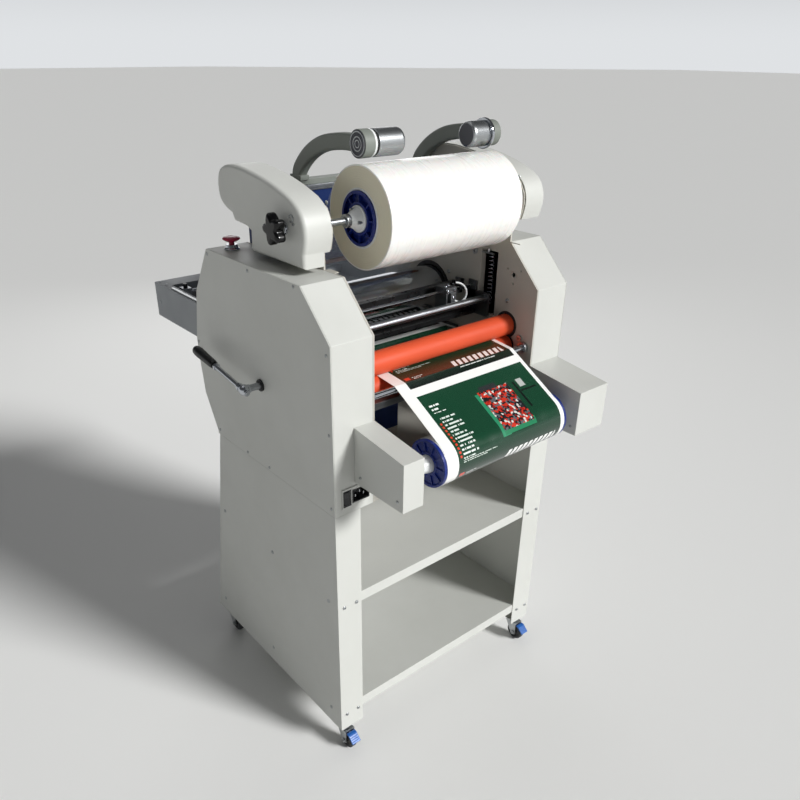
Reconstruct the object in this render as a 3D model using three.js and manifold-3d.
// Roll laminator on a castor stand: film unwind on top, heated nip, pull rollers, rewind in front.
// Millimetres, +X across the web, +Y from the rewind side to the feed side, +Z up.
// Everything is laid out from the middle of the stand's front edge at foot level, and the
// finished group is moved so that its bounding box stands centred on the origin.
import * as THREE from 'three';
import { mergeVertices } from 'three/addons/utils/BufferGeometryUtils.js';
import Module from 'manifold-3d';

const wasm = await Module();
wasm.setup();

// ---------------------------------------------------------------- driving dimensions

const SHEET = 2;            // sheet metal thickness
const GAP = 0.3;            // air left between neighbouring pieces
const CUT = 1;              // how far a cutter runs past the face it opens
const RUNNING = 0.3;        // radial play of a shaft in its bore

// Stand
const STAND_WIDTH = 700;
const STAND_HEIGHT = 645;
const STAND_TOP_DEPTH = 505;
const STAND_FOOT_DEPTH = 637;
const LEG_FLANGE = 68;
const REAR_FLANGE = 40;
const SHELF_LIP = 28;
const MIDDLE_SHELF_TOP = 413;
const BOTTOM_SHELF_TOP = 73;
const SHELF_REAR_CLEARANCE = 2.5; // from a shelf to the rear flange leaning over it

// Castors
const CASTOR_HEIGHT = 78;
const CASTOR_INSET_X = 28;
const CASTOR_FRONT_Y = 28;
const CASTOR_REAR_Y = 600;
const CASTOR_TRAIL = 17;
const WHEEL_RADIUS = 26;
const WHEEL_WIDTH = 20;
const AXLE_RADIUS = 4;

// Head housings. Heights in the head are measured with its foot at HEAD_FOOT, and the whole
// head then rides on the stand's top.
const HEAD_FOOT = 645;
const HEAD_TOP = 1126;
const HOUSING_WIDTH = 107.5;
const PLATE = 4;            // thickness of the inner side plates
const HEAD_PROFILE = [
  [0, HEAD_FOOT + GAP], [0, 1031], [95, HEAD_TOP], [472, HEAD_TOP], [545, 1014],
  [573, 890], [573, 850], [560, 745], [512, 654], [512, HEAD_FOOT + GAP],
];

// Rollers: each has its axis at (y, z)
const HEAT = { y: 364.5, z: 953.4, radius: 64, wall: 10, halfLength: 252, journal: 14 };
const PULL = { y: 87, z: 927, radius: 26, halfLength: 255, journal: 10 };
const PRESSURE = { radius: 40, halfLength: 222, journal: 10 };
const NIP_GAP = 0.8;
const PULL_CLEARANCE = 5;   // from a pull roller to the edge of its opening in the plate
const HEAT_CLEARANCE = 9;   // from the heated roller to the edge of its opening
const CARRIER_OFFSET = 21.5; // from the inner plate's outer face to the bearing carrier
const CARRIER = { y0: 30, y1: 450, z0: 838, z1: 1010, thickness: 6 };
const PILLAR_RADIUS = 6;
const SLOT = { y0: 130, y1: 185, z0: 940, z1: 1095 };
const STUD_HOLE = { y: 77, z: 1051.5, radius: 6 };
const SMALL_HOLES = [[96, 1063], [55, 1065], [76, 1030]];
const SMALL_HOLE_RADIUS = 2.5;

// Cross pan between the housings and the guard standing in it
const PAN = { y0: 2, y1: 505, height: 40 };
const GUARD = { x1: -12, y: 196, top: 760 };

// Drive motor
const MOTOR = { inset0: 56, inset1: 6, y0: 150, y1: 250, boxHeight: 90, canHeight: 80, canRadius: 24 };
const PINION = { z: 60, radius: 20, teeth: 10 };

// Web and the rolls it runs between
const WEB_CENTRE = 14;
const WEB_WIDTH = 372;
const WEB_THICKNESS = 0.3;
const UNWIND = { y: 136, z: 1223, radius: 103, core: 55, shaft: 7, hub: 27 };
const REWIND = { y: -98, z: 763, radius: 54, core: 38.4, shaft: 7, hub: 20 };
const ANTI_CURL = { y: 25, z: 886, radius: 8 };

// Pressure lever and the cradle it lifts
const LEVER = { y: 271, z: 862, radius: 8, hubOut: 45, tilt: 8, rodRadius: 6, rodLength: 165 };
const GRIP = { start: 132, end: 226, radius: 12.5 };
const CAM = { radius: 14, offset: 4, phase: 50, x: 232 };
const CRADLE = { y: 440, z: 800, radius: 8, armX: 228, armThickness: 8 };

// Slitter
const SLITTER = { y: 205, beamZ: 947, rodZ: 1001, rodRadius: 4, carriageX: 142 };
const BEAM = { halfDepth: 16, halfHeight: 15 };

// Unwind covers
const COVER_INSET = 38;      // from the stand's side face to a cover's outer face
const COVER_WALL = 2.5;
const COVER_BEVEL = 7;
const RIGHT_COVER_SHIFT = { y: -64, z: 12 };
const COVER_BODY = [
  [136, 1168], [131, 1184], [127, 1205], [130, 1228], [144, 1252], [176, 1271],
  [222, 1286], [270, 1297], [316, 1304], [358, 1309], [400, 1309], [432, 1303],
  [453, 1290], [462, 1262], [456, 1232], [434, 1216], [408, 1208], [400, 1194],
  [350, 1190], [333, 1183], [333, 1168],
];
const PEDESTAL_BOTTOM = 1140;
const PEDESTAL_WIDTH = 50;
const EAR_FRONT = 160;
const EAR_REAR = 320;
const STAR = { y: 195, z: 1213, radius: 32.5, wave: 6, stem: 9, lobes: 5, inner: 13, outer: 36 };

// Console and the arms on it
const CONSOLE = { halfWidth: 238, y0: 395, y1: 470, z0: 1075, z1: 1250 };
const ARM = {
  halfWidth: 11, halfDepth: 19, footHalf: 12, hubRadius: 27.5, endY: 178, endZ: 1357,
};
const ARM_LEFT_X = -130;
const ARM_RIGHT_X = 230;
const ARM_BAR = { x0: -175, y0: 397, y1: 427, height: 12 };
const PIN_RADIUS = 6;
const PIN_LENGTH = 40;
const CHUCK_LEFT_LENGTH = 80;
const CHUCK_RIGHT_LENGTH = 58;

// Operating panel and controls
const PANEL = { halfWidth: 120, z0: 1092, z1: 1232, thickness: 4 };
const DISPLAY = { x0: -100, x1: 0, z0: 1150, z1: 1215, recess: 1.5 };
const KNOB = { x: 62, z: 1165, radius: 17 };
const START = { x: -66, z: 1120, radius: 10 };
const ENTRY = { inset0: 19, inset1: 94, z0: 661, z1: 708, lip: 3 };
const ROCKER = { inset0: 23, inset1: 39.5, z0: 667, z1: 702 };
const INLET = { inset0: 47, inset1: 88, z0: 671, z1: 699 };
const ESTOP = { inset: 44, y: 431, neck: 11 };

// Feed table
const TABLE = { halfWidth: 310, y0: 575, y1: 890, z0: 857, z1: 951, floor: 890 };
const POCKET = { halfWidth: 286, y1: 830 };
const GUIDE_ROD = { y: 800, z: 935, radius: 5 };
const GUIDE = { x: -262, halfWidth: 12, reach: 180, flange: 16 };

// Rewind boxes
const BOX = { front: -157, bottom: 715, topRear: 845, topFront: 825 };
const LEFT_BOX_WIDTH = 54;
const RIGHT_BOX_WIDTH = 102.5;

// ---------------------------------------------------------------- sizes worked out

const HALF = STAND_WIDTH / 2;
const COVER_OUTER = HALF - COVER_INSET;
const INNER_FACE = HALF - HOUSING_WIDTH;
const PLATE_OUTER = INNER_FACE + PLATE;
const CARRIER_X = PLATE_OUTER + CARRIER_OFFSET;
const LOWER_PULL_Z = PULL.z - 2 * PULL.radius - NIP_GAP;
const PULL_NIP_Z = PULL.z - PULL.radius - NIP_GAP / 2;
const PRESSURE_Z = HEAT.z - HEAT.radius - NIP_GAP - PRESSURE.radius;
const HEAT_NIP_Z = HEAT.z - HEAT.radius - NIP_GAP / 2;
const WEB_LEFT = WEB_CENTRE - WEB_WIDTH / 2;
const WEB_RIGHT = WEB_CENTRE + WEB_WIDTH / 2;
const LEVER_HUB_X = -HALF - LEVER.hubOut;
const MOTOR_X = [HALF - MOTOR.inset0, HALF - MOTOR.inset1];
const ENTRY_X = [ENTRY.inset0 - HALF, ENTRY.inset1 - HALF];
const ROCKER_X = [ROCKER.inset0 - HALF, ROCKER.inset1 - HALF];
const INLET_X = [INLET.inset0 - HALF, INLET.inset1 - HALF];
const ESTOP_X = ESTOP.inset - HALF;
const AXLE_DROP = CASTOR_HEIGHT - WHEEL_RADIUS;
const CAM_PHASE = THREE.MathUtils.degToRad(CAM.phase);
const CAM_Y = LEVER.y - CAM.offset * Math.sin(CAM_PHASE);
const CAM_Z = LEVER.z + CAM.offset * Math.cos(CAM_PHASE);

// ---------------------------------------------------------------- colours

const PAINT = { color: 0xd6d6cf, roughness: 0.45, metalness: 0.1 };
const PAINT_GREY = { color: 0x9b9d98, roughness: 0.5, metalness: 0.1 };
const STEEL = { color: 0xb4b6b8, roughness: 0.35, metalness: 0.9 };
const CHROME = { color: 0xd8dadd, roughness: 0.12, metalness: 1 };
const CAST = { color: 0x666a64, roughness: 0.6, metalness: 0.4 };
const BLACK = { color: 0x141414, roughness: 0.45, metalness: 0 };
const RUBBER = { color: 0x2a2a2a, roughness: 0.85, metalness: 0 };
const SILICONE = { color: 0xd85a34, roughness: 0.5, metalness: 0 };
const BLUE = { color: 0x142a78, roughness: 0.4, metalness: 0 };
const NAVY = { color: 0x0c2350, roughness: 0.45, metalness: 0.1 };
const FILM = { color: 0xe9e8e2, roughness: 0.3, metalness: 0 };
const RED = { color: 0xa8122a, roughness: 0.35, metalness: 0 };
const GREEN = { color: 0x1c7a3a, roughness: 0.4, metalness: 0 };
const PRINT = { color: 0x1f4a34, roughness: 0.35, metalness: 0 };

// ---------------------------------------------------------------- shape helpers

/** Turns a three.js geometry into a manifold solid. */
function solidOf(geometry) {
  const bare = geometry.clone();
  bare.deleteAttribute('normal');
  bare.deleteAttribute('uv');
  const welded = mergeVertices(bare, 1e-4);
  const index = welded.index.array;
  const kept = [];
  for (let i = 0; i < index.length; i += 3) {
    const [a, b, c] = [index[i], index[i + 1], index[i + 2]];
    if (a !== b && b !== c && c !== a) kept.push(a, b, c);
  }
  return new wasm.Manifold(new wasm.Mesh({
    numProp: 3,
    vertProperties: new Float32Array(welded.attributes.position.array),
    triVerts: new Uint32Array(kept),
  }));
}

/** A box between two corners. */
function block(x, y, z) {
  const geometry = new THREE.BoxGeometry(x[1] - x[0], y[1] - y[0], z[1] - z[0]);
  geometry.translate((x[0] + x[1]) / 2, (y[0] + y[1]) / 2, (z[0] + z[1]) / 2);
  return solidOf(geometry);
}

function shapeOf(points) {
  return new THREE.Shape(points.map(([u, v]) => new THREE.Vector2(u, v)));
}

/** A (y, z) outline pushed along X from x0 to x1, with its end edges rounded if asked. */
function alongX(points, x0, x1, bevel = 0) {
  const geometry = new THREE.ExtrudeGeometry(shapeOf(points), {
    depth: x1 - x0 - 2 * bevel,
    bevelEnabled: bevel > 0,
    bevelSize: bevel,
    bevelThickness: bevel,
    bevelOffset: -bevel,
    bevelSegments: 2,
  });
  geometry.applyMatrix4(new THREE.Matrix4().set(
    0, 0, 1, x0 + bevel,
    1, 0, 0, 0,
    0, 1, 0, 0,
    0, 0, 0, 1,
  ));
  return solidOf(geometry);
}

/** A body turned about an axis along X at (y, z); the profile lists [x, radius]. */
function turnedX(profile, y, z, sides = 20) {
  const points = profile.map(([x, radius]) => new THREE.Vector2(radius, x));
  const geometry = new THREE.LatheGeometry(points, sides);
  geometry.rotateZ(-Math.PI / 2);
  geometry.translate(0, y, z);
  return solidOf(geometry);
}

/** A body turned about a vertical axis at (x, y); the profile lists [z, radius]. */
function turnedZ(profile, x, y, sides = 16) {
  const points = profile.map(([z, radius]) => new THREE.Vector2(radius, z));
  const geometry = new THREE.LatheGeometry(points, sides);
  geometry.rotateX(Math.PI / 2);
  geometry.translate(x, y, 0);
  return solidOf(geometry);
}

/** A body turned about an axis along Y at (x, z); the profile lists [y, radius]. */
function turnedY(profile, x, z, sides = 16) {
  const points = profile.map(([y, radius]) => new THREE.Vector2(radius, y));
  const geometry = new THREE.LatheGeometry(points, sides);
  geometry.translate(x, 0, z);
  return solidOf(geometry);
}

/** Closes an outer profile to the axis at both ends. */
function capped(profile) {
  const first = profile[0][0];
  const last = profile[profile.length - 1][0];
  return [[first, 0], ...profile, [last, 0]];
}

function rodX(radius, x0, x1, y, z, sides = 16) {
  return turnedX(capped([[x0, radius], [x1, radius]]), y, z, sides);
}

function rodY(radius, y0, y1, x, z, sides = 16) {
  return turnedY(capped([[y0, radius], [y1, radius]]), x, z, sides);
}

function rodZ(radius, z0, z1, x, y, sides = 16) {
  return turnedZ(capped([[z0, radius], [z1, radius]]), x, y, sides);
}

/** An oval bar swept along a curve that stays in one (y, z) plane. */
function sweptOval(points, halfWidth, halfDepth, sides, steps) {
  const outline = [];
  for (let i = 0; i < sides; i += 1) {
    const angle = (2 * Math.PI * i) / sides;
    outline.push([halfWidth * Math.cos(angle), halfDepth * Math.sin(angle)]);
  }
  const path = new THREE.CatmullRomCurve3(points.map((p) => new THREE.Vector3(...p)));
  return solidOf(new THREE.ExtrudeGeometry(shapeOf(outline), { steps, extrudePath: path }));
}

function joined(...solids) {
  return solids.reduce((sum, solid) => sum.add(solid));
}

function without(solid, ...cutters) {
  return cutters.reduce((rest, cutter) => rest.subtract(cutter), solid);
}

/** The same solid on the other side of the middle plane. */
function mirrored(solid) {
  return solid.mirror([1, 0, 0]);
}

/** A closed outline moved inwards by a distance; corners listed clockwise seen from +X. */
function inset(points, distance) {
  const count = points.length;
  const result = [];
  for (let i = 0; i < count; i += 1) {
    const before = points[(i + count - 1) % count];
    const here = points[i];
    const after = points[(i + 1) % count];
    const inA = new THREE.Vector2(here[1] - before[1], before[0] - here[0]).normalize();
    const inB = new THREE.Vector2(after[1] - here[1], here[0] - after[0]).normalize();
    const reach = distance / (1 + inA.dot(inB));
    result.push([here[0] + (inA.x + inB.x) * reach, here[1] + (inA.y + inB.y) * reach]);
  }
  return result;
}

/** The part of a circle's rim between two angles, in degrees. */
function arc(y, z, radius, from, to, steps) {
  const points = [];
  for (let i = 0; i <= steps; i += 1) {
    const angle = THREE.MathUtils.degToRad(from + ((to - from) * i) / steps);
    points.push([y + radius * Math.cos(angle), z + radius * Math.sin(angle)]);
  }
  return points;
}

/** Angle on both rolls where a taut sheet running over the top of them leaves or meets one. */
function tangentOver(a, b) {
  const along = Math.atan2(b.z - a.z, b.y - a.y);
  const span = Math.hypot(b.y - a.y, b.z - a.z);
  const lean = Math.acos((a.radius - b.radius) / span);
  const forwards = b.y < a.y;
  return THREE.MathUtils.radToDeg(forwards ? along + 2 * Math.PI - lean : along + lean);
}

/** A thin sheet of even thickness following a (y, z) path, between two X positions. */
function ribbon(path, x0, x1) {
  const half = WEB_THICKNESS / 2;
  const upper = [];
  const lower = [];
  path.forEach((here, i) => {
    const before = path[Math.max(i - 1, 0)];
    const after = path[Math.min(i + 1, path.length - 1)];
    const across = new THREE.Vector2(before[1] - after[1], after[0] - before[0]).normalize();
    upper.push([here[0] + across.x * half, here[1] + across.y * half]);
    lower.push([here[0] - across.x * half, here[1] - across.y * half]);
  });
  return alongX([...upper, ...lower.reverse()], x0, x1);
}

// ---------------------------------------------------------------- stand

/** Depth of the stand's side at a height: the rear edge leans back towards the foot. */
function standDepthAt(height) {
  const lean = (STAND_FOOT_DEPTH - STAND_TOP_DEPTH) / STAND_HEIGHT;
  return STAND_FOOT_DEPTH - lean * height;
}

function standSideLeft() {
  const outer = -HALF;
  const side = alongX([
    [0, 0], [0, STAND_HEIGHT], [STAND_TOP_DEPTH, STAND_HEIGHT], [STAND_FOOT_DEPTH, 0],
  ], outer, outer + SHEET);
  const frontFlange = block([outer, outer + LEG_FLANGE], [0, SHEET], [0, STAND_HEIGHT]);
  const rearFlange = alongX([
    [STAND_FOOT_DEPTH - SHEET, 0], [STAND_TOP_DEPTH - SHEET, STAND_HEIGHT],
    [STAND_TOP_DEPTH, STAND_HEIGHT], [STAND_FOOT_DEPTH, 0],
  ], outer, outer + REAR_FLANGE);
  const foot = block([outer, outer + 2 * CASTOR_INSET_X], [0, STAND_FOOT_DEPTH], [0, SHEET]);
  const head = block(
    [outer, outer + REAR_FLANGE], [0, STAND_TOP_DEPTH], [STAND_HEIGHT - SHEET, STAND_HEIGHT],
  );
  return joined(side, frontFlange, rearFlange, foot, head);
}

/** A shelf pressed as a shallow tray with its lips turned down. */
function shelf(top) {
  const halfWidth = HALF - SHEET - GAP;
  const front = SHEET + GAP;
  const rear = standDepthAt(top) - SHEET - SHELF_REAR_CLEARANCE;
  const tray = block([-halfWidth, halfWidth], [front, rear], [top - SHELF_LIP, top]);
  const under = block(
    [-halfWidth + SHEET, halfWidth - SHEET],
    [front + SHEET, rear - SHEET],
    [top - SHELF_LIP - CUT, top - SHEET],
  );
  return without(tray, under);
}

// ---------------------------------------------------------------- castors

function castorSpots() {
  const x = HALF - CASTOR_INSET_X;
  return [
    { name: 'front_left', x: -x, y: CASTOR_FRONT_Y },
    { name: 'front_right', x, y: CASTOR_FRONT_Y },
    { name: 'rear_left', x: -x, y: CASTOR_REAR_Y },
    { name: 'rear_right', x, y: CASTOR_REAR_Y },
  ];
}

/** Swivel race, bent fork and the axle, trailing towards the front. */
function castorFork({ x, y }) {
  const wheelY = y - CASTOR_TRAIL;
  const cheekInner = WHEEL_WIDTH / 2 + 1.5;
  const cheekOuter = cheekInner + 2.5;
  const crownZ = -AXLE_DROP + WHEEL_RADIUS + 4;
  const race = rodZ(19, -14, -GAP, x, y);
  const neck = rodZ(12, crownZ, -12, x, y, 12);
  const crown = block(
    [x - cheekOuter, x + cheekOuter], [wheelY - 8, y + 12], [crownZ, crownZ + 3],
  );
  const cheekShape = [
    [y + 12, crownZ + 3], [wheelY - 8, crownZ + 3],
    [wheelY - 8, -AXLE_DROP - 6], [wheelY + 8, -AXLE_DROP - 6],
  ];
  const cheekA = alongX(cheekShape, x - cheekOuter, x - cheekInner);
  const cheekB = alongX(cheekShape, x + cheekInner, x + cheekOuter);
  const axle = rodX(AXLE_RADIUS, x - cheekOuter - 2, x + cheekOuter + 2, wheelY, -AXLE_DROP, 12);
  return joined(race, neck, crown, cheekA, cheekB, axle);
}

function castorWheel({ x, y }) {
  const half = WHEEL_WIDTH / 2;
  const bore = AXLE_RADIUS + RUNNING;
  return turnedX([
    [x - half, bore], [x - half, WHEEL_RADIUS - 4], [x - half + 4, WHEEL_RADIUS],
    [x + half - 4, WHEEL_RADIUS], [x + half, WHEEL_RADIUS - 4],
    [x + half, bore], [x - half, bore],
  ], y - CASTOR_TRAIL, -AXLE_DROP);
}

/** Foot pedal that locks a front castor: a tread above the toe with two ears on the fork. */
function castorBrake({ x, y }) {
  const wheelY = y - CASTOR_TRAIL;
  const pivotY = wheelY - 12.5;
  const pivotZ = -AXLE_DROP + 22;
  const tread = alongX([
    [pivotY + 3, pivotZ + 7], [pivotY - 6, pivotZ + 7], [pivotY - 24, pivotZ - 10],
    [pivotY - 22, pivotZ - 13], [pivotY - 4, pivotZ + 3], [pivotY + 3, pivotZ + 3],
  ], x - 13, x + 13);
  const rib = alongX([
    [pivotY - 5, pivotZ + 4], [pivotY - 17, pivotZ - 7],
    [pivotY - 17, pivotZ - 12], [pivotY - 12, pivotZ - 8],
  ], x - 2, x + 2);
  return joined(tread, rib);
}

// ---------------------------------------------------------------- head housings

function headSideLeft() {
  const panel = alongX(HEAD_PROFILE, -HALF, -HALF + SHEET);
  const leverHole = rodX(LEVER.radius + 4, -HALF - CUT, -HALF + SHEET + CUT, LEVER.y, LEVER.z);
  return without(panel, leverHole);
}

function headSideRight() {
  return alongX(HEAD_PROFILE, HALF - SHEET, HALF);
}

/** The bent strip that closes a housing at the front, over the top and down the rear. */
function headWrapRight() {
  const x0 = PLATE_OUTER + GAP;
  const x1 = HALF - SHEET - GAP;
  const band = alongX(HEAD_PROFILE, x0, x1);
  const inside = alongX(inset(HEAD_PROFILE, SHEET), x0 - CUT, x1 + CUT);
  return without(band, inside);
}

function headWrapLeft() {
  const entry = block(
    [ENTRY_X[0] + ENTRY.lip - GAP, ENTRY_X[1] - ENTRY.lip + GAP], [-CUT, SHEET + CUT],
    [ENTRY.z0 + ENTRY.lip - GAP, ENTRY.z1 - ENTRY.lip + GAP],
  );
  const stopHole = rodZ(
    ESTOP.neck + GAP, HEAD_TOP - SHEET - CUT, HEAD_TOP + CUT, ESTOP_X, ESTOP.y,
  );
  return without(mirrored(headWrapRight()), entry, stopHole);
}

/** The plate that rises above the housing to carry an unwind cover. */
function earOutline(shift) {
  const body = inset(COVER_BODY, COVER_WALL);
  return body.map(([y, z]) => [y + shift.y, z + shift.z]);
}

/** Inner side plate with its ear, roller openings and the bearing carrier behind it. */
function innerPlateRight(shift, mountWidth) {
  const plate = alongX(HEAD_PROFILE, INNER_FACE, PLATE_OUTER);
  const ear = alongX(earOutline(shift), INNER_FACE, PLATE_OUTER);
  const neck = block(
    [INNER_FACE, PLATE_OUTER],
    [EAR_FRONT + shift.y, EAR_REAR + shift.y],
    [HEAD_TOP - 40, COVER_BODY[0][1] + shift.z + 30],
  );
  const foot = block(
    [INNER_FACE - mountWidth, INNER_FACE + CUT],
    [EAR_FRONT + shift.y - 30, EAR_FRONT + shift.y],
    [HEAD_TOP - SHEET, HEAD_TOP],
  );
  const carrier = block(
    [CARRIER_X, CARRIER_X + CARRIER.thickness], [CARRIER.y0, CARRIER.y1], [CARRIER.z0, CARRIER.z1],
  );
  const pillarSpots = [
    [CARRIER.y0 + 10, CARRIER.z0 + 12], [CARRIER.y0 + 10, CARRIER.z1 - 12],
    [CARRIER.y1 - 10, CARRIER.z0 + 12], [CARRIER.y1 - 10, CARRIER.z1 - 10],
    [230, CARRIER.z0 + 12],
  ];
  const pillars = pillarSpots.map(([y, z]) => rodX(
    PILLAR_RADIUS, PLATE_OUTER - CUT, CARRIER_X + CUT, y, z, 8,
  ));
  const through = [INNER_FACE - CUT, CARRIER_X + CARRIER.thickness + CUT];
  const plateOnly = [INNER_FACE - CUT, PLATE_OUTER + CUT];
  const cutters = [
    rodX(PULL.radius + PULL_CLEARANCE, ...plateOnly, PULL.y, PULL.z, 28),
    rodX(PULL.radius + PULL_CLEARANCE, ...plateOnly, PULL.y, LOWER_PULL_Z, 28),
    rodX(HEAT.radius + HEAT_CLEARANCE, ...plateOnly, HEAT.y, HEAT.z, 36),
    rodX(PULL.journal + RUNNING, ...through, PULL.y, PULL.z),
    rodX(PULL.journal + RUNNING, ...through, PULL.y, LOWER_PULL_Z),
    rodX(HEAT.journal + RUNNING, ...through, HEAT.y, HEAT.z),
    rodX(LEVER.radius + RUNNING, ...through, LEVER.y, LEVER.z),
    rodX(CRADLE.radius + RUNNING, ...plateOnly, CRADLE.y, CRADLE.z),
    rodX(UNWIND.shaft + RUNNING, ...plateOnly, UNWIND.y, UNWIND.z),
    block(plateOnly, [SLOT.y0, SLOT.y1], [SLOT.z0, SLOT.z1]),
    rodX(STUD_HOLE.radius, ...plateOnly, STUD_HOLE.y, STUD_HOLE.z, 12),
    ...SMALL_HOLES.map(([y, z]) => rodX(SMALL_HOLE_RADIUS, ...plateOnly, y, z, 6)),
  ];
  return without(joined(plate, ear, neck, foot, carrier, ...pillars), ...cutters);
}

/** Cross pan that ties the two housings together, with a guard standing in its left half. */
function headFloor() {
  const halfWidth = INNER_FACE - GAP;
  const z0 = HEAD_FOOT + GAP;
  const pan = block([-halfWidth, halfWidth], [PAN.y0, PAN.y1], [z0, z0 + PAN.height]);
  const hollow = block(
    [-halfWidth - CUT, halfWidth + CUT],
    [PAN.y0 + SHEET, PAN.y1 - SHEET],
    [z0 + SHEET, z0 + PAN.height + CUT],
  );
  const guard = block([-halfWidth, GUARD.x1], [GUARD.y, GUARD.y + SHEET], [z0, GUARD.top]);
  return joined(without(pan, hollow), guard);
}

// ---------------------------------------------------------------- rollers

/** A roller body with a bearing journal at each end. */
function roller({ y, z, radius, halfLength, journal }, journalEnd, sides) {
  return turnedX(capped([
    [-journalEnd, journal], [-halfLength, journal], [-halfLength, radius - 3],
    [-halfLength + 3, radius], [halfLength - 3, radius], [halfLength, radius - 3],
    [halfLength, journal], [journalEnd, journal],
  ]), y, z, sides);
}

/** A chain wheel on a journal, inside the right-hand housing. */
function sprocket(y, z, radius, teeth, x0, x1) {
  const points = [];
  const tooth = 3;
  for (let i = 0; i < teeth; i += 1) {
    const step = 360 / teeth;
    const reach = [radius, radius, radius - tooth, radius - tooth];
    reach.forEach((r, k) => {
      const angle = THREE.MathUtils.degToRad(i * step + k * step * 0.25);
      points.push([y + r * Math.cos(angle), z + r * Math.sin(angle)]);
    });
  }
  return alongX(points, x0, x1);
}

/** Heated roller: a tube whose bored journals leave room for a heating rod. */
function heatRoller() {
  const end = CARRIER_X + CARRIER.thickness + 14;
  const bore = HEAT.journal - 5;
  const cavity = HEAT.radius - HEAT.wall;
  const cavityEnd = HEAT.halfLength - 12;
  const inside = turnedX(capped([
    [-end - CUT, bore], [-cavityEnd, bore], [-cavityEnd, cavity],
    [cavityEnd, cavity], [cavityEnd, bore], [end + CUT, bore],
  ]), HEAT.y, HEAT.z);
  return without(joined(
    roller(HEAT, end, 36),
    sprocket(HEAT.y, HEAT.z, 42, 18, end - 10, end - 4),
  ), inside);
}

function pullRollerUpper() {
  return roller(PULL, CARRIER_X + CARRIER.thickness + 4, 28);
}

function pullRollerLower() {
  const end = CARRIER_X + CARRIER.thickness + 14;
  return joined(
    roller({ ...PULL, z: LOWER_PULL_Z }, end, 28),
    sprocket(PULL.y, LOWER_PULL_Z, 24, 12, end - 10, end - 4),
  );
}

function pressureRoller() {
  const spec = { ...PRESSURE, y: HEAT.y, z: PRESSURE_Z };
  return roller(spec, CRADLE.armX + CRADLE.armThickness, 28);
}

/** Two arms on a pivot shaft: they carry the pressure roller and rest on the lever's cams. */
function pressureCradle() {
  const camTop = CAM_Z + CAM.radius + GAP;
  const outline = [
    [CRADLE.y + 16, CRADLE.z - 10], [CRADLE.y - 4, CRADLE.z - 18], [CRADLE.y - 60, 818],
    [HEAT.y - 28, 838], [HEAT.y - 42, camTop], [LEVER.y - 26, camTop],
    [LEVER.y - 26, camTop + 5.5], [HEAT.y - 20, camTop + 5.5], [HEAT.y + 24, 866],
    [CRADLE.y + 10, CRADLE.z + 16], [CRADLE.y + 18, CRADLE.z + 4],
  ];
  const armOuter = CRADLE.armX + CRADLE.armThickness;
  const bore = PRESSURE.journal + RUNNING;
  const arm = without(
    alongX(outline, CRADLE.armX, armOuter),
    rodX(bore, CRADLE.armX - CUT, armOuter + CUT, HEAT.y, PRESSURE_Z),
  );
  const pivot = rodX(CRADLE.radius, -PLATE_OUTER, PLATE_OUTER, CRADLE.y, CRADLE.z);
  return joined(arm, mirrored(arm), pivot);
}

/** Cross shaft with two cams, and the hub and rod outside the left housing. */
function pressureLever() {
  const shaft = rodX(LEVER.radius, LEVER_HUB_X, PLATE_OUTER + 8, LEVER.y, LEVER.z);
  const camStart = CAM.x - 8;
  const camEnd = CAM.x + 8;
  const cams = [-1, 1].map((side) => rodX(
    CAM.radius,
    side < 0 ? -camEnd : camStart,
    side < 0 ? -camStart : camEnd,
    CAM_Y, CAM_Z,
  ));
  const hub = turnedX(capped([
    [LEVER_HUB_X - 12, 7], [LEVER_HUB_X - 8, 12], [LEVER_HUB_X + 8, 12], [LEVER_HUB_X + 14, 9],
  ]), LEVER.y, LEVER.z);
  const collar = rodX(13, -HALF - 12, -HALF - 3, LEVER.y, LEVER.z);
  const rod = rodY(LEVER.rodRadius, 0, LEVER.rodLength, 0, 0)
    .rotate([LEVER.tilt, 0, 0])
    .translate([LEVER_HUB_X, LEVER.y, LEVER.z]);
  return joined(shaft, ...cams, hub, collar, rod);
}

function leverGrip() {
  const bore = LEVER.rodRadius + RUNNING;
  const { start, end, radius } = GRIP;
  const boreEnd = LEVER.rodLength + 5;
  const profile = [
    [start, bore], [start, radius - 3.5], [start + 8, radius - 2], [end - 26, radius],
    [end - 10, radius - 1], [end - 2, radius - 5.5], [end, 0],
    [boreEnd, 0], [boreEnd, bore], [start, bore],
  ];
  return turnedY(profile, 0, 0)
    .rotate([LEVER.tilt, 0, 0])
    .translate([LEVER_HUB_X, LEVER.y, LEVER.z]);
}

/** Geared drive motor standing in the right-hand housing. */
function driveMotor() {
  const floor = HEAD_FOOT + GAP + SHEET + GAP;
  const { y0, y1, boxHeight, canHeight, canRadius } = MOTOR;
  const [x0, x1] = MOTOR_X;
  const middleY = (y0 + y1) / 2;
  const top = floor + boxHeight;
  const shaftZ = floor + PINION.z;
  const gearbox = block([x0, x1], [y0, y1], [floor, top]);
  const can = rodZ(canRadius, top - CUT, top + canHeight, (x0 + x1) / 2, middleY, 20);
  const shaft = rodX(7, x0 - 18, x0 + CUT, middleY, shaftZ, 12);
  const pinion = sprocket(middleY, shaftZ, PINION.radius, PINION.teeth, x0 - 16, x0 - 10);
  return joined(gearbox, can, shaft, pinion);
}

// ---------------------------------------------------------------- slitter and anti-curl bar

function antiCurlBar() {
  return rodX(ANTI_CURL.radius, -INNER_FACE + GAP, INNER_FACE - GAP, ANTI_CURL.y, ANTI_CURL.z, 20);
}

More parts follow.
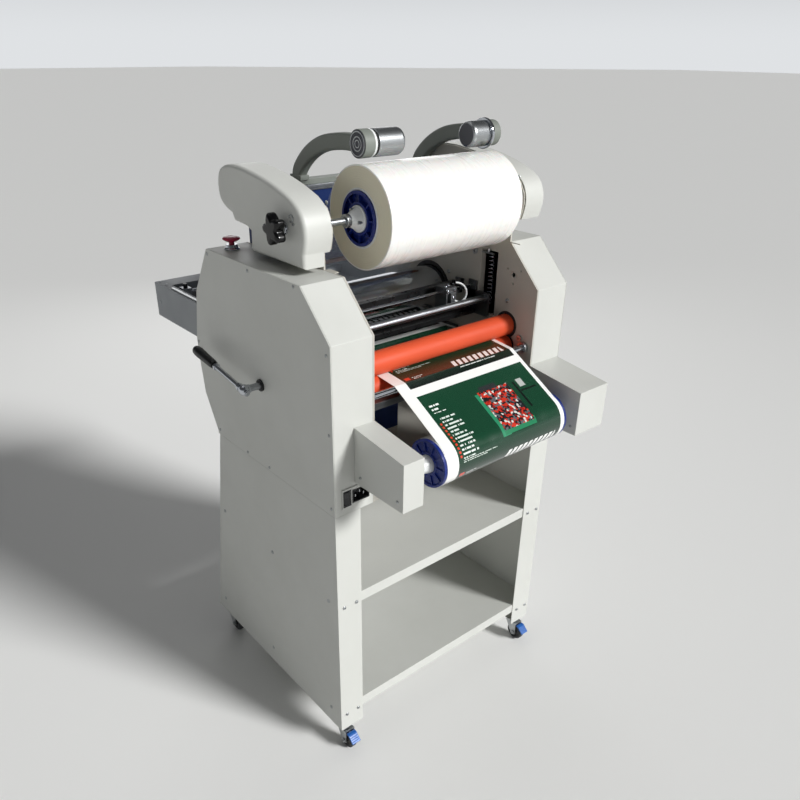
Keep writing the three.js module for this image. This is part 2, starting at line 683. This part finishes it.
/** Cross beam with a thin guide rod above it, held by a bracket at each end. */
function slitterRail() {
  const end = INNER_FACE - GAP;
  const { y, beamZ, rodZ: z, rodRadius } = SLITTER;
  const beam = block(
    [-end, end],
    [y - BEAM.halfDepth, y + BEAM.halfDepth],
    [beamZ - BEAM.halfHeight, beamZ + BEAM.halfHeight],
  );
  const rod = rodX(rodRadius, -end, end, y, z, 12);
  const bracket = block(
    [end - 5, end],
    [y - BEAM.halfDepth - 4, y + BEAM.halfDepth + 4],
    [beamZ - BEAM.halfHeight - 5, z + 12],
  );
  return joined(beam, rod, bracket, mirrored(bracket));
}

/** Blade carriage that slides along the guide rod, with a bracket for its air hose. */
function slitterCarriage() {
  const { carriageX: x, y, rodZ: z, rodRadius } = SLITTER;
  const bottom = SLITTER.beamZ + BEAM.halfHeight + GAP;
  const body = block([x - 17, x + 17], [y - 24, y + 16], [bottom, z + 14]);
  const cheek = block([x - 10, x + 4], [y - 34, y - 24 + CUT], [bottom + 2, z + 4]);
  const bracket = block([x + 17 - CUT, x + 48], [y - 12, y - 7], [z - 8, z + 26]);
  const bore = rodX(rodRadius + RUNNING, x - 18, x + 18, y, z, 12);
  return without(joined(body, cheek, bracket), bore);
}

// ---------------------------------------------------------------- feed table

/** Deep tray at the feed side; its pocket drops to the level of the nip. */
function feedTable() {
  const { halfWidth, y0, y1, z0, z1, floor } = TABLE;
  const tray = block([-halfWidth, halfWidth], [y0, y1], [z0, z1]);
  const under = block(
    [-halfWidth + SHEET, halfWidth - SHEET], [y0 + SHEET, y1 - SHEET], [z0 - CUT, z1 - SHEET],
  );
  const pocketWall = block(
    [-POCKET.halfWidth - SHEET, POCKET.halfWidth + SHEET], [y0, POCKET.y1 + SHEET],
    [floor - SHEET, z1],
  );
  const pocket = block(
    [-POCKET.halfWidth, POCKET.halfWidth], [y0 - CUT, POCKET.y1], [floor, z1 + CUT],
  );
  const tongue = block(
    [-INNER_FACE + 4, INNER_FACE - 4], [HEAT.y + 62, y0 + CUT], [floor - SHEET, floor],
  );
  const rod = rodX(
    GUIDE_ROD.radius, -POCKET.halfWidth - CUT, POCKET.halfWidth + CUT, GUIDE_ROD.y, GUIDE_ROD.z,
  );
  return joined(without(joined(without(tray, under), pocketWall), pocket), tongue, rod);
}

/** Side guide for the sheet being fed: a fin hung from a block on the cross rod. */
function feedGuide() {
  const { x, halfWidth, reach, flange: flangeWidth } = GUIDE;
  const { y, z, radius } = GUIDE_ROD;
  const bottom = TABLE.floor + 1;
  const body = block([x - halfWidth, x + halfWidth], [y - 14, y + 14], [z - 12, z + 12]);
  const fin = block([x - 1.5, x + 1.5], [y - reach, y + 14], [bottom, z - 11]);
  const flange = block([x - 1.5, x + flangeWidth], [y - reach, y - 20], [bottom, bottom + 2]);
  const bore = rodX(radius + RUNNING, x - halfWidth - CUT, x + halfWidth + CUT, y, z);
  return without(joined(body, fin, flange), bore);
}

// ---------------------------------------------------------------- console and controls

function consoleBox() {
  const { halfWidth, y0, y1, z0, z1 } = CONSOLE;
  const body = block([-halfWidth, halfWidth], [y0, y1], [z0, z1]);
  const hollow = block(
    [-halfWidth + SHEET, halfWidth - SHEET], [y0 + SHEET, y1 - SHEET], [z0 - CUT, z1 - SHEET],
  );
  return without(body, hollow);
}

/** Flat operating panel with a display window and the holes for its knob and button. */
function controlPanel() {
  const back = CONSOLE.y1 + GAP;
  const face = back + PANEL.thickness;
  const plate = block([-PANEL.halfWidth, PANEL.halfWidth], [back, face], [PANEL.z0, PANEL.z1]);
  const display = block(
    [DISPLAY.x0, DISPLAY.x1], [face - DISPLAY.recess, face + CUT], [DISPLAY.z0, DISPLAY.z1],
  );
  const knobHole = rodY(4 + RUNNING, back - CUT, face + CUT, KNOB.x, KNOB.z, 12);
  const startHole = rodY(START.radius + GAP, face - 3, face + CUT, START.x, START.z);
  return without(plate, display, knobHole, startHole);
}

function speedKnob() {
  const face = CONSOLE.y1 + GAP + PANEL.thickness;
  return turnedY(capped([
    [CONSOLE.y1 + GAP, 4], [face + 0.5, 4], [face + 0.5, KNOB.radius], [face + 3, KNOB.radius],
    [face + 4, KNOB.radius - 3], [face + 18, KNOB.radius - 4], [face + 20, KNOB.radius - 6],
  ]), KNOB.x, KNOB.z, 20);
}

function startButton() {
  const face = CONSOLE.y1 + GAP + PANEL.thickness;
  return turnedY(capped([
    [face - 0.5, START.radius], [face + 4, START.radius], [face + 5.5, START.radius - 2],
  ]), START.x, START.z);
}

/** Moulding in the left housing's front that holds the mains inlet and the rocker. */
function powerEntry() {
  const { z0, z1, lip } = ENTRY;
  const [x0, x1] = ENTRY_X;
  const flange = block([x0, x1], [-GAP - 2.5, -GAP], [z0, z1]);
  const body = block([x0 + lip, x1 - lip], [-GAP - CUT, 30], [z0 + lip, z1 - lip]);
  const rockerWell = block(ROCKER_X, [-5, 14], [ROCKER.z0, ROCKER.z1]);
  const inletWell = block(INLET_X, [-5, 20], [INLET.z0, INLET.z1]);
  const middleX = (INLET_X[0] + INLET_X[1]) / 2;
  const middleZ = (INLET.z0 + INLET.z1) / 2;
  const pins = [[-11, -4], [0, 4], [11, -4]].map(([dx, dz]) => block(
    [middleX + dx - 1, middleX + dx + 1], [4, 20 + CUT], [middleZ + dz - 3, middleZ + dz + 3],
  ));
  return joined(without(joined(flange, body), rockerWell, inletWell), ...pins);
}

/** Rocker with its upper end pressed in; it tips about its middle. */
function rockerSwitch() {
  const middleZ = (ROCKER.z0 + ROCKER.z1) / 2;
  return alongX([
    [6, middleZ - 14.5], [-5, middleZ - 15.5], [-1.5, middleZ], [-1.8, middleZ + 14.5],
    [6, middleZ + 13.5], [10, middleZ],
  ], ROCKER_X[0] + 0.5, ROCKER_X[1] - 0.5);
}

function estopCollar() {
  return turnedZ([
    [HEAD_TOP + GAP, 6.5], [HEAD_TOP + GAP, 17], [HEAD_TOP + 3, 17], [HEAD_TOP + 5, 14],
    [HEAD_TOP + 14, 12.5], [HEAD_TOP + 14, 6.5], [HEAD_TOP + GAP, 6.5],
  ], ESTOP_X, ESTOP.y);
}

function estopButton() {
  return turnedZ(capped([
    [HEAD_TOP - 10, 6], [HEAD_TOP + 18.5, 6], [HEAD_TOP + 19, 15], [HEAD_TOP + 22, 20],
    [HEAD_TOP + 26, 19], [HEAD_TOP + 29, 14], [HEAD_TOP + 30.5, 7],
  ]), ESTOP_X, ESTOP.y, 20);
}

// ---------------------------------------------------------------- unwind

/** Rounded cover shell on a narrower pedestal, open towards the ear it is screwed to. */
function unwindCoverLeft() {
  const openFace = -PLATE_OUTER - GAP;
  const pedestalFace = -COVER_OUTER + PEDESTAL_WIDTH;
  const pedestal = [
    ...COVER_BODY.slice(0, -1), [333, 1168], [336, PEDESTAL_BOTTOM], [136, PEDESTAL_BOTTOM],
  ];
  const shell = without(
    alongX(pedestal, -COVER_OUTER, openFace + 20, COVER_BEVEL),
    alongX(inset(pedestal, COVER_WALL), -COVER_OUTER + COVER_WALL, openFace + 21, COVER_BEVEL - 2),
    block([openFace, openFace + 30], [0, 600], [1100, 1400]),
    block([pedestalFace, openFace + CUT], [0, 600], [PEDESTAL_BOTTOM - CUT, COVER_BODY[0][1]]),
  );
  const knobHole = rodX(STAR.stem + RUNNING, -COVER_OUTER - CUT, -COVER_OUTER + 10, STAR.y, STAR.z);
  return without(shell, knobHole);
}

function unwindCoverRight() {
  const openFace = PLATE_OUTER + GAP;
  const outline = COVER_BODY.map(([y, z]) => [y + RIGHT_COVER_SHIFT.y, z + RIGHT_COVER_SHIFT.z]);
  return without(
    alongX(outline, openFace - 20, COVER_OUTER, COVER_BEVEL),
    alongX(inset(outline, COVER_WALL), openFace - 21, COVER_OUTER - COVER_WALL, COVER_BEVEL - 2),
    block([openFace - 30, openFace], [-100, 600], [1100, 1400]),
  );
}

/** Five-lobed knob with a stem through the left cover. */
function starKnob() {
  const points = [];
  const perLobe = 6;
  for (let i = 0; i < STAR.lobes * perLobe; i += 1) {
    const angle = (2 * Math.PI * i) / (STAR.lobes * perLobe);
    const radius = STAR.radius - STAR.wave + STAR.wave * Math.cos(STAR.lobes * angle);
    points.push([STAR.y + radius * Math.cos(angle), STAR.z + radius * Math.sin(angle)]);
  }
  const lobes = alongX(points, -COVER_OUTER - STAR.outer, -COVER_OUTER - STAR.inner, 2);
  const stem = turnedX(capped([
    [-COVER_OUTER - STAR.inner - CUT, STAR.stem + 2], [-COVER_OUTER - 4, STAR.stem + 2],
    [-COVER_OUTER - 4, STAR.stem + 5], [-COVER_OUTER - GAP, STAR.stem + 5],
    [-COVER_OUTER - GAP, STAR.stem], [-COVER_OUTER + 12, STAR.stem],
  ]), STAR.y, STAR.z);
  return joined(lobes, stem);
}

/** Through shaft with a flared hub in each end of the film core. */
function unwindShaft() {
  const { y, z, shaft, hub } = UNWIND;
  return turnedX(capped([
    [-PLATE_OUTER + GAP, shaft], [WEB_LEFT - 26, shaft], [WEB_LEFT - 24, 15], [WEB_LEFT - 6, hub],
    [WEB_LEFT + 24, hub], [WEB_LEFT + 24, shaft], [WEB_RIGHT - 24, shaft],
    [WEB_RIGHT - 24, hub], [WEB_RIGHT + 6, hub], [WEB_RIGHT + 24, 15],
    [WEB_RIGHT + 26, shaft], [PLATE_OUTER - GAP, shaft],
  ]), y, z);
}

/** Ring-shaped plug that centres a core on its hub. */
function corePlug(at, { y, z, core, hub }, facing) {
  const near = at - facing * 4;
  const far = at + facing * 22;
  const low = Math.min(near, far);
  const high = Math.max(near, far);
  return turnedX([
    [low, hub + RUNNING], [low, core - RUNNING], [high, core - RUNNING],
    [high, hub + RUNNING], [low, hub + RUNNING],
  ], y, z, 28);
}

function filmRoll() {
  const { y, z, radius, core } = UNWIND;
  return turnedX([
    [WEB_LEFT, core], [WEB_LEFT, radius - 1.5], [WEB_LEFT + 1.5, radius],
    [WEB_RIGHT - 1.5, radius], [WEB_RIGHT, radius - 1.5], [WEB_RIGHT, core], [WEB_LEFT, core],
  ], y, z, 40);
}

/** Film running down from the supply roll onto the back of the heated roller. */
function filmStrand() {
  const clear = 2 * GAP + WEB_THICKNESS / 2;
  const rear = { y: UNWIND.y, z: UNWIND.z, radius: UNWIND.radius + clear };
  const hot = { y: HEAT.y, z: HEAT.z, radius: HEAT.radius + clear };
  const angle = tangentOver(rear, hot);
  const path = [
    ...arc(rear.y, rear.z, rear.radius, angle + 12, angle, 2),
    ...arc(hot.y, hot.z, hot.radius, angle, -70, 14),
  ];
  return ribbon(path, WEB_LEFT + 2, WEB_RIGHT - 2);
}

// ---------------------------------------------------------------- arms on the console

/** One curved arm on its foot, ending in a hub whose pivot pin points towards +X. */
function arm(x) {
  const middle = (ARM_BAR.y0 + ARM_BAR.y1) / 2;
  const barTop = CONSOLE.z1 + GAP + ARM_BAR.height;
  const foot = block(
    [x - ARM.footHalf, x + ARM.footHalf], [middle - 22, middle + 22], [barTop - CUT, barTop + 10],
  );
  const limb = sweptOval([
    [x, middle, barTop - 4], [x, middle - 6, barTop + 22], [x, 366, 1320],
    [x, 312, 1345], [x, 245, 1356], [x, ARM.endY + 8, ARM.endZ],
  ], ARM.halfWidth, ARM.halfDepth, 12, 12);
  const hub = turnedX(capped([
    [x - 14, ARM.hubRadius - 5.5], [x - 12, ARM.hubRadius], [x + 12, ARM.hubRadius],
    [x + 12, PIN_RADIUS], [x + PIN_LENGTH, PIN_RADIUS],
  ]), ARM.endY, ARM.endZ);
  return joined(foot, limb, hub);
}

/** Cross bar on the console with the two arms, their pins facing each other. */
function armFrame() {
  const bar = block(
    [ARM_BAR.x0, CONSOLE.halfWidth],
    [ARM_BAR.y0, ARM_BAR.y1],
    [CONSOLE.z1 + GAP, CONSOLE.z1 + GAP + ARM_BAR.height],
  );
  return joined(bar, arm(ARM_LEFT_X), mirrored(arm(-ARM_RIGHT_X)));
}

/** Steel chuck that turns on the pivot pin of an arm at X, its free end towards +X. */
function chuck(x, length, flange) {
  const start = x + 12 + GAP;
  const end = start + length;
  const bore = PIN_RADIUS + RUNNING;
  const boreEnd = x + PIN_LENGTH + 2;
  const body = ARM.hubRadius;
  const collar = flange
    ? [[start, body + 6], [start + 7, body + 6], [start + 8, body]]
    : [[start, body - 1], [start + 5, body - 1], [start + 6, body - 3], [start + 11, body - 3],
      [start + 12, body]];
  return turnedX([
    [start, bore], ...collar, [end - 9, body], [end - 3, body - 2], [end, body - 5], [end, 0],
    [boreEnd, 0], [boreEnd, bore], [start, bore],
  ], ARM.endY, ARM.endZ);
}

// ---------------------------------------------------------------- rewind

/** Sheet metal box on the housing's front, open towards the housing. */
function rewindBox(x0, x1, innerWall) {
  const outline = [
    [BOX.front, BOX.bottom], [BOX.front, BOX.topFront], [-GAP, BOX.topRear], [-GAP, BOX.bottom],
  ];
  const hollow = [
    [BOX.front + SHEET, BOX.bottom + SHEET], [BOX.front + SHEET, BOX.topFront - SHEET],
    [CUT, BOX.topRear - SHEET], [CUT, BOX.bottom + SHEET],
  ];
  const hole = rodX(
    REWIND.shaft + RUNNING, innerWall - SHEET - CUT, innerWall + SHEET + CUT, REWIND.y, REWIND.z,
  );
  return without(alongX(outline, x0, x1), alongX(hollow, x0 + SHEET, x1 - SHEET), hole);
}

function rewindShaft() {
  const { y, z, shaft, hub } = REWIND;
  return turnedX(capped([
    [-INNER_FACE - 36, shaft], [WEB_LEFT - 40, shaft], [WEB_LEFT - 38, 12], [WEB_LEFT - 12, hub],
    [WEB_LEFT + 24, hub], [WEB_LEFT + 24, shaft], [WEB_RIGHT - 24, shaft],
    [WEB_RIGHT - 24, hub], [WEB_RIGHT + 12, hub], [WEB_RIGHT + 30, 12],
    [WEB_RIGHT + 32, shaft], [INNER_FACE + 60, shaft],
  ]), y, z);
}

/** Core plug with a flange as large as the wound roll. */
function rewindPlug(at, facing) {
  const { y, z, radius, core, hub } = REWIND;
  const rim = at - facing * 8;
  const face = at - facing * GAP;
  const inside = at + facing * 22;
  const profile = [
    [rim, hub + RUNNING], [rim, radius], [face, radius], [face, core - RUNNING],
    [inside, core - RUNNING], [inside, hub + RUNNING], [rim, hub + RUNNING],
  ];
  return turnedX(facing > 0 ? profile : profile.reverse(), y, z, 28);
}

function rewindRoll() {
  const { y, z, radius, core } = REWIND;
  return turnedX([
    [WEB_LEFT, core], [WEB_LEFT, radius], [WEB_RIGHT, radius], [WEB_RIGHT, core],
    [WEB_LEFT, core],
  ], y, z, 32);
}

/** Printed web from the heated nip through the pull rollers, over the bar and down. */
function printedWeb() {
  const clear = GAP + WEB_THICKNESS / 2;
  const bar = { y: ANTI_CURL.y, z: ANTI_CURL.z, radius: ANTI_CURL.radius + clear };
  const roll = { y: REWIND.y, z: REWIND.z, radius: REWIND.radius + clear };
  const leave = tangentOver(bar, roll);
  const path = [
    [HEAT.y, HEAT_NIP_Z], [PULL.y, PULL_NIP_Z],
    ...arc(bar.y, bar.z, bar.radius, 84, leave, 5),
    ...arc(roll.y, roll.z, roll.radius, leave, leave + 40, 6),
  ];
  return ribbon(path, WEB_LEFT + 2, WEB_RIGHT - 2);
}

// ---------------------------------------------------------------- assembly

const part = new THREE.Group();
part.name = 'roll_laminator';

function add(name, solid, finish) {
  const mesh = solid.getMesh();
  const geometry = new THREE.BufferGeometry();
  geometry.setAttribute('position', new THREE.BufferAttribute(mesh.vertProperties, 3));
  geometry.setIndex(new THREE.BufferAttribute(mesh.triVerts, 1));
  const flat = geometry.toNonIndexed();
  flat.computeVertexNormals();
  const node = new THREE.Mesh(flat, new THREE.MeshStandardMaterial(finish));
  node.name = name;
  part.add(node);
}

/** Adds a piece of the head, which rides on the stand's top. */
function addHead(name, solid, finish) {
  add(name, solid.translate([0, 0, STAND_HEIGHT - HEAD_FOOT]), finish);
}

add('stand_side_left', standSideLeft(), PAINT);
add('stand_side_right', mirrored(standSideLeft()), PAINT);
add('shelf_middle', shelf(MIDDLE_SHELF_TOP), PAINT);
add('shelf_bottom', shelf(BOTTOM_SHELF_TOP), PAINT);

castorSpots().forEach((spot) => {
  add(`castor_fork_${spot.name}`, castorFork(spot), STEEL);
  add(`castor_wheel_${spot.name}`, castorWheel(spot), BLACK);
  if (spot.name.startsWith('front')) add(`castor_brake_${spot.name}`, castorBrake(spot), BLUE);
});

addHead('head_side_left', headSideLeft(), PAINT);
addHead('head_side_right', headSideRight(), PAINT);
addHead('head_wrap_left', headWrapLeft(), PAINT);
addHead('head_wrap_right', headWrapRight(), PAINT);
addHead('inner_plate_left', mirrored(innerPlateRight({ y: 0, z: 0 }, 12)), PAINT_GREY);
addHead('inner_plate_right', innerPlateRight(RIGHT_COVER_SHIFT, 0), PAINT_GREY);
addHead('head_floor', headFloor(), PAINT_GREY);

addHead('heat_roller', heatRoller(), CHROME);
addHead('pressure_roller', pressureRoller(), RUBBER);
addHead('pull_roller_upper', pullRollerUpper(), SILICONE);
addHead('pull_roller_lower', pullRollerLower(), SILICONE);
addHead('pressure_cradle', pressureCradle(), STEEL);
addHead('pressure_lever', pressureLever(), CHROME);
addHead('lever_grip', leverGrip(), BLACK);
addHead('drive_motor', driveMotor(), STEEL);
addHead('anti_curl_bar', antiCurlBar(), STEEL);
addHead('slitter_rail', slitterRail(), STEEL);
addHead('slitter_carriage', slitterCarriage(), BLACK);

addHead('feed_table', feedTable(), PAINT_GREY);
addHead('feed_guide', feedGuide(), STEEL);

addHead('console', consoleBox(), NAVY);
addHead('control_panel', controlPanel(), PAINT_GREY);
addHead('speed_knob', speedKnob(), BLACK);
addHead('start_button', startButton(), GREEN);
addHead('power_entry', powerEntry(), BLACK);
addHead('rocker_switch', rockerSwitch(), RED);
addHead('estop_collar', estopCollar(), CHROME);
addHead('estop_button', estopButton(), RED);

addHead('unwind_cover_left', unwindCoverLeft(), PAINT);
addHead('unwind_cover_right', unwindCoverRight(), PAINT);
addHead('star_knob', starKnob(), BLACK);
addHead('unwind_shaft', unwindShaft(), STEEL);
addHead('unwind_plug_left', corePlug(WEB_LEFT, UNWIND, 1), BLUE);
addHead('unwind_plug_right', corePlug(WEB_RIGHT, UNWIND, -1), BLUE);
addHead('film_roll', filmRoll(), FILM);
addHead('film_strand', filmStrand(), FILM);

addHead('arm_frame', armFrame(), CAST);
addHead('chuck_left', chuck(ARM_LEFT_X, CHUCK_LEFT_LENGTH, false), STEEL);
addHead('chuck_right', mirrored(chuck(-ARM_RIGHT_X, CHUCK_RIGHT_LENGTH, true)), STEEL);

addHead('rewind_box_left', rewindBox(-INNER_FACE - LEFT_BOX_WIDTH, -INNER_FACE, -INNER_FACE), PAINT);
addHead('rewind_box_right', rewindBox(INNER_FACE, INNER_FACE + RIGHT_BOX_WIDTH, INNER_FACE), PAINT);
addHead('rewind_shaft', rewindShaft(), FILM);
addHead('rewind_plug_left', rewindPlug(WEB_LEFT, 1), BLUE);
addHead('rewind_plug_right', rewindPlug(WEB_RIGHT, -1), BLUE);
addHead('rewind_roll', rewindRoll(), PRINT);
addHead('printed_web', printedWeb(), PRINT);

// Stand the finished part on the origin: bounding box centred, lowest point at zero.
const box = new THREE.Box3().setFromObject(part);
const shiftX = -(box.min.x + box.max.x) / 2;
const shiftY = -(box.min.y + box.max.y) / 2;
const shiftZ = -box.min.z;
part.children.forEach((node) => node.geometry.translate(shiftX, shiftY, shiftZ));

export default part;
